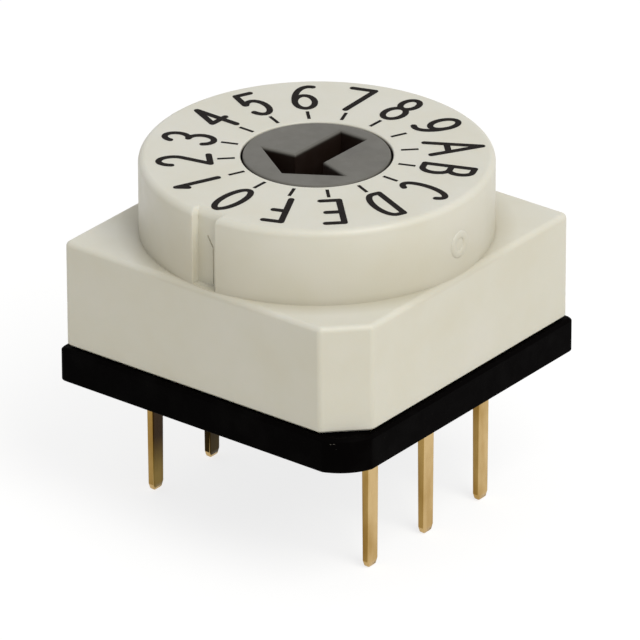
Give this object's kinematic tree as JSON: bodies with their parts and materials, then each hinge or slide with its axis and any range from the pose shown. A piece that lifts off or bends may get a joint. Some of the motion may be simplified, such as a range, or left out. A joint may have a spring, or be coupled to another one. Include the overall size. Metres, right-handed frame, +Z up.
{
  "type": "rotary dip switch",
  "caption": "Square sealed rotary coded switch with a round lettered collar, an arrow-slot rotor, a black base and through-hole pins.",
  "frame": {"origin": "centre of the base's underside, on the rotor's axis, where the switch seats on its board", "axes": "+Z up along the rotor's axis; -Y towards position 0 and the collar's groove; +X towards position C, with the cut corner at +X, -Y"},
  "size_m": [0.0102, 0.0102, 0.0106],
  "materials": {
    "cream_plastic": "satin cream moulding",
    "black_plastic": "satin black moulding",
    "sealing_resin": "black epoxy resin",
    "grey_plastic": "satin grey moulding",
    "seal_rubber": "black rubber",
    "carrier_plastic": "amber moulding",
    "gold_plating": "gold plated copper alloy",
    "spring_steel": "bright spring steel"
  },
  "bodies": {
    "switch_body": {"housing": "cream_plastic", "base": "black_plastic", "sealing_resin_right": "sealing_resin", "sealing_resin_left": "sealing_resin", "detent_spring_back": "spring_steel", "detent_spring_front": "spring_steel", "terminal_common_side": "gold_plating", "terminal_common_front": "gold_plating", "terminal_8": "gold_plating", "terminal_4": "gold_plating", "terminal_2": "gold_plating", "terminal_1": "gold_plating"},
    "rotor_set": {"rotor": "grey_plastic", "rotor_seal": "seal_rubber", "code_carrier": "carrier_plastic", "code_plate": "gold_plating"}
  },
  "joints": [
    {"name": "rotor_turn", "type": "hinge", "parent": "switch_body", "child": "rotor_set", "pos_m": [0, 0, 0.0045], "axis": [0, 0, 1], "continuous": true, "deforming": ["detent_spring_back", "detent_spring_front"]}
  ]
}
